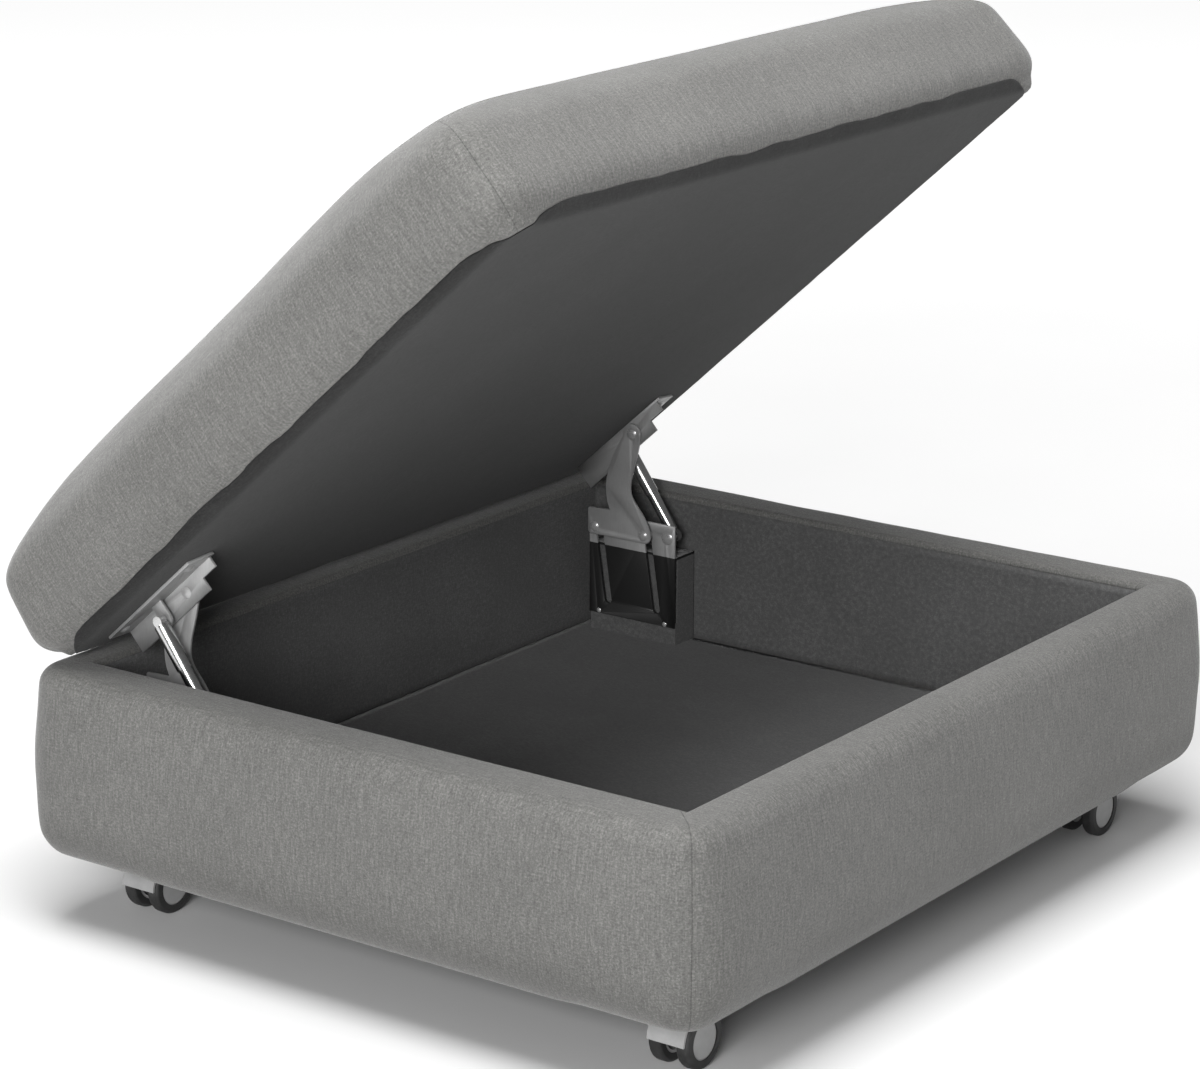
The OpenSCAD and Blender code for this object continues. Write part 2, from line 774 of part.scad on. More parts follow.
front_panel();
rear_panel();
left_panel();
right_panel();
floor_panel();
end_foam();
side_foam();
base_cover();
wall_lining();
floor_lining();
base_dust_cover();
hinge_blocks();
lid_board();
lid_foam();
lid_cover();
lid_dust_cloth();
lid_screws();
guide_plate_left();
guide_plate_right();
guide_screws();
lift_arm_left();
lift_arm_right();
arm_rivets_left();
arm_rivets_right();
lid_bracket_left();
lid_bracket_right();
spring_cylinder_left();
spring_cylinder_right();
spring_rod_left();
spring_rod_right();
spring_stud_left();
spring_stud_right();
caster_plates();
caster_screws();
caster_hood_front_left();
caster_hood_front_right();
caster_hood_rear_left();
caster_hood_rear_right();
caster_axle_front_left();
caster_axle_front_right();
caster_axle_rear_left();
caster_axle_rear_right();
tyre_front_left_outer();
tyre_front_left_inner();
tyre_front_right_outer();
tyre_front_right_inner();
tyre_rear_left_outer();
tyre_rear_left_inner();
tyre_rear_right_outer();
tyre_rear_right_inner();
hub_front_left_outer();
hub_front_left_inner();
hub_front_right_outer();
hub_front_right_inner();
hub_rear_left_outer();
hub_rear_left_inner();
hub_rear_right_outer();
hub_rear_right_inner();
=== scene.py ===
import json
import math

import bmesh
import bpy
import numpy as np
from mathutils import Matrix, Vector, noise
from mathutils.bvhtree import BVHTree


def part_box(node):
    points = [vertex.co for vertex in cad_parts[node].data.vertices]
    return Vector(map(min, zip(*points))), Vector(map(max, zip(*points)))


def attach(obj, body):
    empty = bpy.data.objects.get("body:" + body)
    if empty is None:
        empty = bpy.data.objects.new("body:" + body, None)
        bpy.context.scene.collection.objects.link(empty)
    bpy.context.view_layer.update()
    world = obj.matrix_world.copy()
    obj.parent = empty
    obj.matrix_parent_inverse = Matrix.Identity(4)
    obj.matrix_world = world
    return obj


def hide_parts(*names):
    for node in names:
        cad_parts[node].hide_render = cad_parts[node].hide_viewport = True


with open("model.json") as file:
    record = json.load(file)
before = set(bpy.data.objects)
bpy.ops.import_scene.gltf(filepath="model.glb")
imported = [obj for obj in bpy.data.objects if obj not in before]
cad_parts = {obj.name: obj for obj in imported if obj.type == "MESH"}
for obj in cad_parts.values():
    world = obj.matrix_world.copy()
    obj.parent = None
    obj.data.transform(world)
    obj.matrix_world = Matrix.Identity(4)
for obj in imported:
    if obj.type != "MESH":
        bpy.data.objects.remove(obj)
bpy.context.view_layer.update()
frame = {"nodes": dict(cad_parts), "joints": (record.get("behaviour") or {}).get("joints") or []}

MM = 0.001
NODES = frame["nodes"]
JOINTS = {j["name"]: j for j in frame["joints"]}
SIDES = ("left", "right")
CORNERS = [f"{f}_{s}" for f in ("front", "rear") for s in SIDES]

# ---------------------------------------------------------------- places taken from the frame
base_lo, base_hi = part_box("base_cover")
lining_lo, lining_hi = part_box("wall_lining")
floor_lo, floor_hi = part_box("floor_lining")
panel_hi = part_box("right_panel")[1]
end_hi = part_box("rear_panel")[1]
mid_y = (base_lo.y + base_hi.y) / 2
half_w = (base_hi.x - base_lo.x) / 2
half_d = (base_hi.y - base_lo.y) / 2
rim_z = base_hi.z
base_z = base_lo.z
inner_w = floor_hi.x
inner_d = (floor_hi.y - floor_lo.y) / 2

# The lid is modelled closed, then carried to its open place by the lid's own joints
tilt = JOINTS["lid_tilt"]
open_angle = math.radians(tilt["range_deg"][1])
pivot_open = Vector(tilt["pos_m"])
lift = JOINTS["lift_left"]
pivot_shut = pivot_open + Vector(lift["axis"]) * lift["range_m"][1]
OPEN = (Matrix.Translation(pivot_open) @ Matrix.Rotation(-open_angle, 4, "X")
        @ Matrix.Translation(-pivot_shut))
LID_GAP = 3.5 * MM
lid_z = rim_z + LID_GAP


# ---------------------------------------------------------------- camera, light and floor
LENS = 117.4
LENS_SHIFT = (0.0377, 0.0028)


def look_from(azimuth, elevation, distance, aim):
    """A long-lens camera at that azimuth and elevation in degrees, with no roll."""
    a, e = math.radians(azimuth), math.radians(elevation)
    back = Vector((math.sin(a) * math.cos(e), -math.cos(a) * math.cos(e), math.sin(e)))
    data = bpy.data.cameras.new("camera")
    cam = bpy.data.objects.new("camera", data)
    cam.location = Vector(aim) + back * distance
    cam.rotation_euler = back.to_track_quat("Z", "Y").to_euler()
    bpy.context.scene.collection.objects.link(cam)
    bpy.context.scene.camera = cam
    data.lens = LENS
    data.sensor_width = 36
    data.shift_x, data.shift_y = LENS_SHIFT
    data.clip_end = 60


look_from(azimuth=-53.525, elevation=16.346, distance=4.1, aim=(-0.0918, mid_y + 0.0404, 0.3892))


def area_light(name, at, aim, size, power):
    data = bpy.data.lights.new(name, "AREA")
    data.shape = "RECTANGLE"
    data.size, data.size_y = size
    data.energy = power
    lamp = bpy.data.objects.new(name, data)
    lamp.location = at
    lamp.rotation_euler = (Vector(at) - Vector(aim)).to_track_quat("Z", "Y").to_euler()
    bpy.context.scene.collection.objects.link(lamp)


area_light("key", at=(-4.9, -2.0, 2.0), aim=(0, 0, 0.4), size=(2.2, 1.8), power=188)
area_light("top", at=(-0.6, -0.1, 3.8), aim=(0, 0, 0.3), size=(2.6, 2.6), power=188)

world = bpy.data.worlds.new("studio")
bpy.context.scene.world = world
world.use_nodes = True
surround = world.node_tree.nodes["Background"]
surround.inputs["Color"].default_value = (1, 1, 1, 1)
surround.inputs["Strength"].default_value = 0.14
bpy.context.scene.view_settings.view_transform = "Standard"


# ---------------------------------------------------------------- material helpers
class Shader:
    """A material whose nodes are made by short calls, each returning the socket it feeds from."""

    def __init__(self, name, colour, roughness, metallic=0.0):
        self.material = bpy.data.materials.new(name)
        self.material.use_nodes = True
        self.tree = self.material.node_tree
        self.bsdf = self.tree.nodes["Principled BSDF"]
        self.bsdf.inputs["Base Color"].default_value = (*colour, 1)
        self.bsdf.inputs["Roughness"].default_value = roughness
        self.bsdf.inputs["Metallic"].default_value = metallic

    def feed(self, socket, value):
        if isinstance(value, bpy.types.NodeSocket):
            self.tree.links.new(value, socket)
        elif value is not None:
            socket.default_value = value

    def math(self, operation, a, b=None, c=None, clamp=False):
        n = self.tree.nodes.new("ShaderNodeMath")
        n.operation = operation
        n.use_clamp = clamp
        for socket, value in zip(n.inputs, (a, b, c)):
            self.feed(socket, value)
        return n.outputs[0]

    def uv(self):
        n = self.tree.nodes.new("ShaderNodeUVMap")
        n.uv_map = "weave"
        return n.outputs["UV"]

    def place(self):
        """The point on the closed, resting object, whatever the pose."""
        n = self.tree.nodes.new("ShaderNodeAttribute")
        n.attribute_name = "rest_place"
        return n.outputs["Vector"]

    def object_place(self):
        return self.tree.nodes.new("ShaderNodeTexCoord").outputs["Object"]

    def split(self, vector):
        n = self.tree.nodes.new("ShaderNodeSeparateXYZ")
        self.feed(n.inputs[0], vector)
        return n.outputs

    def stretched(self, vector, scale):
        n = self.tree.nodes.new("ShaderNodeMapping")
        self.feed(n.inputs["Vector"], vector)
        n.inputs["Scale"].default_value = scale
        return n.outputs[0]

    def noise(self, vector, scale, detail=2.0, rough=0.5):
        n = self.tree.nodes.new("ShaderNodeTexNoise")
        self.feed(n.inputs["Vector"], vector)
        n.inputs["Scale"].default_value = scale
        n.inputs["Detail"].default_value = detail
        n.inputs["Roughness"].default_value = rough
        return n.outputs[0]

    def voronoi(self, vector, scale):
        n = self.tree.nodes.new("ShaderNodeTexVoronoi")
        self.feed(n.inputs["Vector"], vector)
        n.inputs["Scale"].default_value = scale
        return n.outputs["Distance"]

    def ramp(self, value, stops):
        n = self.tree.nodes.new("ShaderNodeValToRGB")
        self.feed(n.inputs[0], value)
        points = n.color_ramp.elements
        while len(points) < len(stops):
            points.new(0.5)
        for point, (at, colour) in zip(points, stops):
            point.position = at
            point.color = (*colour, 1)
        return n.outputs[0]

    def mix(self, factor, a, b, blend="MIX"):
        n = self.tree.nodes.new("ShaderNodeMix")
        n.data_type = "RGBA"
        n.blend_type = blend
        self.feed(n.inputs[0], factor)
        self.feed(n.inputs[6], a if isinstance(a, bpy.types.NodeSocket) else (*a, 1))
        self.feed(n.inputs[7], b if isinstance(b, bpy.types.NodeSocket) else (*b, 1))
        return n.outputs[2]

    def colour(self, socket):
        self.feed(self.bsdf.inputs["Base Color"], socket)

    def rough(self, value, low, high):
        n = self.tree.nodes.new("ShaderNodeMapRange")
        self.feed(n.inputs["Value"], value)
        n.inputs["To Min"].default_value = low
        n.inputs["To Max"].default_value = high
        self.feed(self.bsdf.inputs["Roughness"], n.outputs[0])

    def bump(self, height, strength, depth, after=None):
        n = self.tree.nodes.new("ShaderNodeBump")
        self.feed(n.inputs["Height"], height)
        self.feed(n.inputs["Normal"], after)
        n.inputs["Strength"].default_value = strength
        n.inputs["Distance"].default_value = depth
        self.feed(self.bsdf.inputs["Normal"], n.outputs[0])
        return n.outputs[0]


def grey(level, warm=0.0):
    """A linear colour from a display grey of 0 to 255, a little warmer by warm."""
    shown = (level + 0.2 * warm, level, level - warm)
    return tuple(((c / 255 + 0.055) / 1.055) ** 2.4 for c in shown)


THREAD = 1.25 * MM
CLOTH = 109
SEAM_HALF = 1.3 * MM
STITCH = 4 * MM
# Painted shade along the bottom of the cloth: how high it reaches and the depth it fades over
SHADE_TOP = 50 * MM
SHADE_DEPTH = 60 * MM


def upholstery():
    """Melange weave: threads over and under, flecked yarn, faint slubs, sewn seams at the corners."""
    s = Shader("upholstery", grey(130, 1.5), 0.95)
    uv = s.uv()
    u, v, _ = s.split(uv)
    warp = s.math("SINE", s.math("MULTIPLY", u, math.pi / THREAD))
    weft = s.math("SINE", s.math("MULTIPLY", v, math.pi / THREAD))
    over = s.math("MULTIPLY_ADD", s.math("MULTIPLY", warp, weft), 1.6, 0.5, clamp=True)
    warp_round = s.math("POWER", s.math("ABSOLUTE", warp), 0.6)
    weft_round = s.math("POWER", s.math("ABSOLUTE", weft), 0.6)
    height = s.math("ADD", s.math("MULTIPLY", warp_round, over),
                    s.math("MULTIPLY", weft_round, s.math("SUBTRACT", 1.0, over)))
    along_v = s.noise(s.stretched(uv, (1 / THREAD, 0.22 / THREAD, 1)), 0.8, 2.0, 0.6)
    along_u = s.noise(s.stretched(uv, (0.22 / THREAD, 1 / THREAD, 1)), 0.8, 2.0, 0.6)
    speckle = s.noise(s.stretched(uv, (1 / THREAD, 1 / THREAD, 1)), 0.55, 2.5, 0.65)
    slub = s.noise(s.stretched(uv, (330, 40, 1)), 1.0, 2.0, 0.55)
    cloud = s.noise(s.place(), 6.0, 2.0, 0.5)
    tone = s.math("ADD", s.math("MULTIPLY", along_v, over),
                  s.math("MULTIPLY", along_u, s.math("SUBTRACT", 1.0, over)))
    tone = s.math("ADD", s.math("MULTIPLY", tone, 0.45), s.math("MULTIPLY", speckle, 0.55))
    tone = s.math("ADD", tone, s.math("MULTIPLY", s.math("SUBTRACT", slub, 0.5), 0.27))
    tone = s.math("ADD", tone, s.math("MULTIPLY", s.math("SUBTRACT", cloud, 0.5), 0.10))
    yarns = [(0.25, grey(CLOTH - 34, 1)), (0.5, grey(CLOTH, 2)), (0.75, grey(CLOTH + 36, 3))]
    cloth = s.ramp(tone, yarns)
    # Painted shade: the gaps between the threads are darkened
    gap_shade = s.math("SUBTRACT", 1.0, height, clamp=True)
    cloth = s.mix(s.math("MULTIPLY", gap_shade, 0.4), cloth, grey(CLOTH - 58, 1.5))
    # Painted shade: the lowest few centimetres are darkened, as the shade near the floor
    x, y, z = s.split(s.place())
    low_shade = s.math("DIVIDE", s.math("SUBTRACT", base_z + SHADE_TOP, z), SHADE_DEPTH, clamp=True)
    cloth = s.mix(s.math("MULTIPLY", low_shade, 0.35), cloth, grey(CLOTH - 50, 1.5))
    # The seam runs down each corner, where the side and end panels of cloth are sewn together
    across = s.math("SUBTRACT", s.math("ABSOLUTE", x),
                    s.math("ABSOLUTE", s.math("SUBTRACT", y, mid_y)))
    off_seam = s.math("ABSOLUTE", s.math("SUBTRACT", across, half_w - half_d))
    seam = s.math("SUBTRACT", 1.0, s.math("DIVIDE", off_seam, SEAM_HALF), clamp=True)
    stitch_wave = s.math("SINE", s.math("MULTIPLY", z, 2 * math.pi / STITCH))
    stitch = s.math("MULTIPLY_ADD", stitch_wave, 0.2, 0.45)
    s.colour(s.mix(s.math("MULTIPLY", seam, stitch), cloth, grey(54, 1)))
    fibres = s.math("ADD", height, s.math("MULTIPLY", speckle, 0.8))
    first = s.bump(fibres, 0.45, 0.3 * MM)
    s.bump(s.math("SUBTRACT", 1.0, seam), 0.5, 0.8 * MM, first)
    s.bsdf.inputs["Sheen Weight"].default_value = 0.3
    s.bsdf.inputs["Sheen Roughness"].default_value = 0.4
    s.bsdf.inputs["Specular IOR Level"].default_value = 0.2
    return s.material


def felt(name, level, fibre, fleck, on_cad=False):
    """Needled felt: short fibres in every direction, with lighter flecks."""
    s = Shader(name, grey(level), 0.95)
    p = s.object_place() if on_cad else s.place()
    fine = s.noise(p, 1 / fibre, 4.0, 0.65)
    long_a = s.noise(s.stretched(p, (1, 0.2, 0.25)), 0.8 / fibre, 2.0, 0.5)
    long_b = s.noise(s.stretched(p, (0.22, 1, 0.9)), 0.8 / fibre, 2.0, 0.5)
    cloud = s.noise(p, 9.0, 2.0, 0.5)
    tone = s.math("ADD", s.math("MULTIPLY", fine, 0.45), s.math("MULTIPLY", long_a, 0.3))
    tone = s.math("ADD", tone, s.math("MULTIPLY", long_b, 0.25))
    tone = s.math("ADD", tone, s.math("MULTIPLY", s.math("SUBTRACT", cloud, 0.5), 0.15))
    s.colour(s.ramp(tone, [(0.3, grey(level - 16)), (0.5, grey(level)), (0.75, grey(level + fleck))]))
    s.bump(tone, 0.6, 0.5 * MM)
    s.bsdf.inputs["Sheen Weight"].default_value = 0.15
    s.bsdf.inputs["Specular IOR Level"].default_value = 0.15
    return s.material


def steel(name, level, roughness, metallic, brushed, scratch, dark_below=None):
    """Sheet steel with fine brush lines along one way, a few scratches and worn spots.
    What lies under dark_below, behind the stored things, is painted black."""
    s = Shader(name, grey(level), roughness, metallic)
    p = s.object_place()
    stretch = (1600, 1600, 60) if brushed else (500, 500, 500)
    lines = s.noise(s.stretched(p, stretch), 1.0, 3.0, 0.6)
    worn = s.noise(p, 45, 4.0, 0.6)
    marks = s.noise(s.stretched(p, (300, 40, 300)), 1.0, 5.0, 0.7)
    tone = s.math("ADD", s.math("MULTIPLY", lines, 0.5), s.math("MULTIPLY", worn, 0.5))
    finish = s.ramp(tone, [(0.3, grey(level - 12)), (0.7, grey(level + 10))])
    if dark_below:
        height = s.split(p)[2]
        under = s.math("GREATER_THAN", dark_below, height)
        finish = s.mix(under, finish, grey(44))
    s.colour(finish)
    s.rough(s.math("ADD", s.math("MULTIPLY", worn, 0.6), s.math("MULTIPLY", marks, 0.4)),
            roughness - 0.1, roughness + 0.14)
    s.bump(s.math("ADD", lines, s.math("MULTIPLY", marks, scratch)), 0.1, 0.04 * MM)
    return s.material


def plastic(name, level, roughness, grain):
    """Moulded plastic with a fine spark-eroded grain and faint handling wear."""
    s = Shader(name, grey(level), roughness)
    p = s.object_place()
    cells = s.voronoi(p, 1 / grain)
    wear = s.noise(p, 60, 4.0, 0.6)
    s.colour(s.ramp(wear, [(0.3, grey(level - 7)), (0.7, grey(level + 6))]))
    s.rough(wear, roughness - 0.06, roughness + 0.1)
    s.bump(cells, 0.15, 0.08 * MM)
    return s.material


def rubber():
    s = Shader("tyre_rubber", grey(44), 0.5)
    p = s.object_place()
    dust = s.noise(p, 120, 4.0, 0.65)
    s.colour(s.ramp(dust, [(0.35, grey(38)), (0.75, grey(58))]))
    s.rough(dust, 0.42, 0.7)
    s.bump(s.noise(p, 1400, 2.0), 0.15, 0.1 * MM)
    s.bsdf.inputs["Specular IOR Level"].default_value = 0.5
    return s.material


def timber(name, across):
    """Birch board: grain stretched along the board, with fine pores."""
    s = Shader(name, grey(190), 0.7)
    p = s.object_place()
    grain = s.noise(s.stretched(p, across), 1.0, 5.0, 0.6)
    pores = s.noise(s.stretched(p, tuple(6 * a for a in across)), 1.0, 2.0)
    tone = s.math("ADD", s.math("MULTIPLY", grain, 0.7), s.math("MULTIPLY", pores, 0.3))
    browns = [(0.3, (0.42, 0.27, 0.13)), (0.55, (0.60, 0.42, 0.23)), (0.8, (0.70, 0.52, 0.31))]
    s.colour(s.ramp(tone, browns))
    s.bump(tone, 0.3, 0.2 * MM)
    return s.material


def foam_block():
    """Open-cell upholstery foam."""
    s = Shader("foam", grey(214), 0.95)
    p = s.object_place()
    cells = s.voronoi(p, 700)
    depth = s.math("MULTIPLY", cells, 0.6, clamp=True)
    s.colour(s.mix(depth, (0.72, 0.65, 0.42), (0.50, 0.44, 0.27)))
    s.bump(cells, 0.7, 0.5 * MM)
    return s.material


UPHOLSTERY = upholstery()
FELT = felt("lining_felt", 88, 0.9 * MM, 34)
BLOCK_FELT = felt("block_felt", 88, 0.9 * MM, 34, on_cad=True)
UNDERCLOTH = felt("under_cloth", 34, 1.2 * MM, 26)
CAD_CLOTH = felt("cad_cloth", 34, 1.2 * MM, 26, on_cad=True)
SATIN = steel("satin_steel", 162, 0.42, 0.2, True, 0.4)
black_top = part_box("hinge_blocks")[1].z + 3 * MM
GUIDE = steel("guide_steel", 162, 0.42, 0.2, True, 0.4, dark_below=black_top)
BRIGHT = steel("bright_steel", 205, 0.2, 1.0, False, 0.2)
PLATED = steel("plated_steel", 178, 0.26, 0.35, False, 0.2)
CASTER_GREY = plastic("caster_plastic", 166, 0.45, 0.5 * MM)
TYRE = rubber()
TIMBER = timber("birch", (12, 160, 160))
FOAM = foam_block()


def paint(names, material):
    for name in names:
        data = NODES[name].data
        data.materials.clear()
        data.materials.append(material)


# ---------------------------------------------------------------- mesh helpers
def new_object(name, verts, faces, material=None):
    mesh = bpy.data.meshes.new(name)
    mesh.from_pydata([tuple(v) for v in verts], [], faces)
    mesh.validate()
    obj = bpy.data.objects.new(name, mesh)
    bpy.context.scene.collection.objects.link(obj)
    if material:
        mesh.materials.append(material)
    smooth(obj)
    return obj


def smooth(obj):
    obj.data.polygons.foreach_set("use_smooth", [True] * len(obj.data.polygons))


def points_of(obj):
    co = np.empty(len(obj.data.vertices) * 3)
    obj.data.vertices.foreach_get("co", co)
    return co.reshape(-1, 3)


def put_points(obj, co):
    obj.data.vertices.foreach_set("co", np.asarray(co, float).ravel())
    obj.data.update()


def normals_of(obj):
    n = np.empty(len(obj.data.vertices) * 3)
    obj.data.vertex_normals.foreach_get("vector", n)
    return n.reshape(-1, 3)


def apply_modifiers(obj):
    graph = bpy.context.evaluated_depsgraph_get()
    mesh = bpy.data.meshes.new_from_object(obj.evaluated_get(graph), depsgraph=graph)
    old = obj.data
    obj.modifiers.clear()
    obj.data = mesh
    bpy.data.meshes.remove(old)
    smooth(obj)


def remember_place(obj):
    """Keeps where each point is on the closed object, and lays the weave over it from the side
    that it faces."""
    mesh = obj.data
    co = points_of(obj)
    place = mesh.attributes.new("rest_place", "FLOAT_VECTOR", "POINT")
    place.data.foreach_set("vector", co.astype(np.float32).ravel())
    normals = np.empty(len(mesh.polygons) * 3)
    mesh.polygons.foreach_get("normal", normals)
    facing = np.abs(normals.reshape(-1, 3)).argmax(1)
    totals = np.empty(len(mesh.polygons), int)
    mesh.polygons.foreach_get("loop_total", totals)
    corner = np.empty(len(mesh.loops), int)
    mesh.loops.foreach_get("vertex_index", corner)
    side = np.repeat(facing, totals)
    p = co[corner]
    upright = np.where((side == 0)[:, None], p[:, [1, 2]], p[:, [0, 2]])
    uv = np.where((side == 2)[:, None], p[:, [0, 1]], upright)
    layer = mesh.uv_layers.new(name="weave")
    layer.data.foreach_set("uv", uv.astype(np.float32).ravel())


def rounded_ring(half_x, half_y, radius, straight, turn):
    """Points round a rounded rectangle, anticlockwise: straight points along each side, turn round
    each corner. The same counts give matching points whatever the size."""
    out = []
    radius = max(radius, 0.5 * MM)
    for q in range(4):
        long_side = half_y if q % 2 == 0 else half_x
        reach = half_x if q % 2 == 0 else half_y
        c, s = round(math.cos(q * math.pi / 2)), round(math.sin(q * math.pi / 2))
        n = straight[q % 2]
        for i in range(n):
            t = -1 + 2 * (i + 0.5) / n
            px, py = reach, t * (long_side - radius)
            out.append((c * px - s * py, s * px + c * py))
        for i in range(turn):
            a = math.pi / 2 * (i + 0.5) / turn
            px = reach - radius + radius * math.cos(a)
            py = long_side - radius + radius * math.sin(a)
            out.append((c * px - s * py, s * px + c * py))
    return np.array(out)


def rings_to_faces(rings, points, closed):
    faces = []
    for k in range(rings if closed else rings - 1):
        for i in range(points):
            a, b = k * points + i, k * points + (i + 1) % points
            c, d = ((k + 1) % rings) * points + (i + 1) % points, ((k + 1) % rings) * points + i
            faces.append((a, b, c, d))
    return faces


def spaced(corners, step):
    """Points about step apart along a line through corners, the corners kept."""
    out = []
    for (ax, az), (bx, bz) in zip(corners, corners[1:] + corners[:1]):
        n = max(1, round(math.hypot(bx - ax, bz - az) / step))
        out += [(ax + (bx - ax) * i / n, az + (bz - az) * i / n) for i in range(n)]
    return out


def arc(cx, cz, r, a0, a1, n):
    return [(cx + r * math.cos(math.radians(a0 + (a1 - a0) * i / n)),
             cz + r * math.sin(math.radians(a0 + (a1 - a0) * i / n))) for i in range(n + 1)]


def evened(obj, step, rounds):
    """The steps of the points averaged with those of the points beside them, so that no lump is left."""
    ends = np.empty(len(obj.data.edges) * 2, int)
    obj.data.edges.foreach_get("vertices", ends)
    a, b = ends.reshape(-1, 2).T
    n = len(step)
    share = 1.0 + np.bincount(a, minlength=n) + np.bincount(b, minlength=n)
    for _ in range(rounds):
        beside = [np.bincount(a, step[b, k], n) + np.bincount(b, step[a, k], n) for k in range(3)]
        step = (step + np.array(beside).T) / share[:, None]
    return step


SWELL_FRAMES = 20


def swell(obj, pinned, pressure, cap, even):
    """Cloth simulation with air inside it and no gravity. No point moves further than cap, and the
    result is applied after as many rounds of evening as even says."""
    start = points_of(obj)
    group = obj.vertex_groups.new(name="pinned")
    for weight in sorted(set(np.round(pinned[pinned > 0], 2))):
        group.add([int(i) for i in np.nonzero(np.round(pinned, 2) == weight)[0]], float(weight), "REPLACE")
    modifier = obj.modifiers.new("cloth", "CLOTH")
    cloth = modifier.settings
    cloth.quality = 5
    cloth.mass = 0.3
    cloth.tension_stiffness = 25
    cloth.compression_stiffness = 25
    cloth.shear_stiffness = 12
    cloth.bending_stiffness = 1.5
    cloth.tension_damping = 20
    cloth.compression_damping = 20
    cloth.use_pressure = True
    cloth.uniform_pressure_force = pressure
    cloth.effector_weights.gravity = 0
    cloth.vertex_group_mass = "pinned"
    modifier.collision_settings.use_collision = False
    modifier.collision_settings.use_self_collision = False
    modifier.point_cache.frame_end = SWELL_FRAMES
    scene = bpy.context.scene
    for frame_number in range(1, SWELL_FRAMES + 1):
        scene.frame_set(frame_number)
    graph = bpy.context.evaluated_depsgraph_get()
    evaluated = obj.evaluated_get(graph)
    moved = np.empty(len(evaluated.data.vertices) * 3)
    evaluated.data.vertices.foreach_get("co", moved)
    step = moved.reshape(-1, 3) - start
    obj.modifiers.clear()
    obj.vertex_groups.clear()
    scene.frame_set(1)
    length = np.linalg.norm(step, axis=1)
    scale = np.where(length > 1e-9, cap * np.tanh(length / cap) / np.maximum(length, 1e-9), 0)
    put_points(obj, start + evened(obj, step * scale[:, None], even))


def refine(obj):
    obj.modifiers.new("subdivide", "SUBSURF").levels = 1
    apply_modifiers(obj)


def thicken(obj, thickness):
    """Gives a sheet its thickness, half to each side."""
    solid = obj.modifiers.new("thick", "SOLIDIFY")
    solid.thickness = thickness
    solid.offset = 0
    apply_modifiers(obj)


def on_circle(turn, radius):
    """Points on a level circle, for noise that meets itself after a whole turn."""
    return np.c_[np.cos(turn) * radius, np.sin(turn) * radius, turn * 0]


def waves(p, scale, seed):
    """Smooth noise from -1 to 1 at each point."""
    shift = Vector((seed * 7.3, seed * 3.1, seed * 5.7))
    return np.array([noise.noise(Vector(q) * scale + shift) for q in p])


# ---------------------------------------------------------------- the upholstered base
BASE_STEP = 9 * MM
BASE_CORNER = 40 * MM
BASE_ROLL = 24 * MM
BASE_BULGE = 11 * MM
TURN_UNDER = 20 * MM
HEM = 2 * MM
RIM_ROLL = 16 * MM
RIM_CROWN = 2.8 * MM
CREST_IN = 15 * MM
LIP = 6 * MM
TUCK = 1.5 * MM
SAG = 13 * MM
SAG_OUT = 22 * MM
SAG_SPAN = 80 * MM
TIGHT_CORNER = 110 * MM


def hump(t, sharp=1.3):
    """1 at the middle of 0 to 1, falling smoothly to 0 at both ends."""
    t = np.clip(t, 0, 1)
    return np.abs(np.sin(math.pi * t)) ** sharp


def off_diagonal(co):
    """How far each point is from the lines that run out through the corners."""
    across = np.abs(co[:, 0]) - np.abs(co[:, 1] - mid_y) - (half_w - half_d)
    return np.abs(across) / math.sqrt(2)


def base_section(wall, behind, under_in):
    """The cloth's section as insets and heights: in under the base, up the side, over the rim and
    down behind the lining."""
    top = rim_z + 0.6 * MM
    tuck = top - LIP - TUCK
    line = [(under_in, base_z)]
    line += arc(BASE_ROLL, base_z + BASE_ROLL, BASE_ROLL, 270, 180, 7)
    line += arc(RIM_ROLL, top - RIM_ROLL, RIM_ROLL, 180, 90, 5)
    line += arc(wall - LIP, top - LIP, LIP, 90, 0, 4)
    line += [(wall, tuck), (wall - TUCK, tuck), (behind, tuck)]
    line += [(behind, base_z + HEM), (under_in, base_z + HEM)]
    return spaced(line, BASE_STEP)


def base_drop(inset, z, wall, under_in):
    """How far the cloth lies below its section: it sags under the base and crowns over the rim."""
    if z > rim_z - RIM_ROLL and inset < wall - 0.5 * MM:
        reach = wall - 2 * CREST_IN
        return -RIM_CROWN * float(hump((inset + reach) / (wall + reach))) * (1 - (rim_z - z) / RIM_ROLL)
    if inset < under_in and z < base_z + BASE_ROLL:
        return SAG * float(hump((inset + SAG_OUT) / SAG_SPAN)) * (1 - (z - base_z) / BASE_ROLL)
    return 0


def base_bulge(inset, z):
    """How far the padding pushes the outer side out, most of all below its middle."""
    share = max(0.0, z - base_z) / (rim_z - base_z)
    return BASE_BULGE * float(hump(share ** 0.75, 0.8)) if inset < BASE_ROLL else 0


def base_upholstery():
    """The padded cover as one closed ring of cloth, from under the base to behind the lining."""
    wall = half_w - inner_w
    behind = half_w - panel_hi.x
    under_in = behind + TURN_UNDER
    section = base_section(wall, behind, under_in)
    end_ratio = (half_d - inner_d) / wall
    straight = (round(2 * half_d / BASE_STEP), round(2 * half_w / BASE_STEP))
    verts = []
    for inset, z in section:
        inset_y = inset * (1 + (end_ratio - 1) * min(1, inset / wall))
        out = base_bulge(inset, z)
        drop = base_drop(inset, z, wall, under_in)
        ring = rounded_ring(half_w - inset + out, half_d - inset_y + out, BASE_CORNER - inset + out,
                            straight, 9)
        # The cloth sags a little less by the corners, where it is sewn and stapled tight
        hold = np.clip(off_diagonal(ring + (0, mid_y)) / TIGHT_CORNER, 0.8, 1)
        height = z - drop * (hold if drop > 0 else np.ones(len(ring)))
        verts += [(x, y + mid_y, h) for (x, y), h in zip(ring, height)]
    faces = rings_to_faces(len(section), len(verts) // len(section), True)
    return new_object("base_upholstery", verts, faces, UPHOLSTERY)


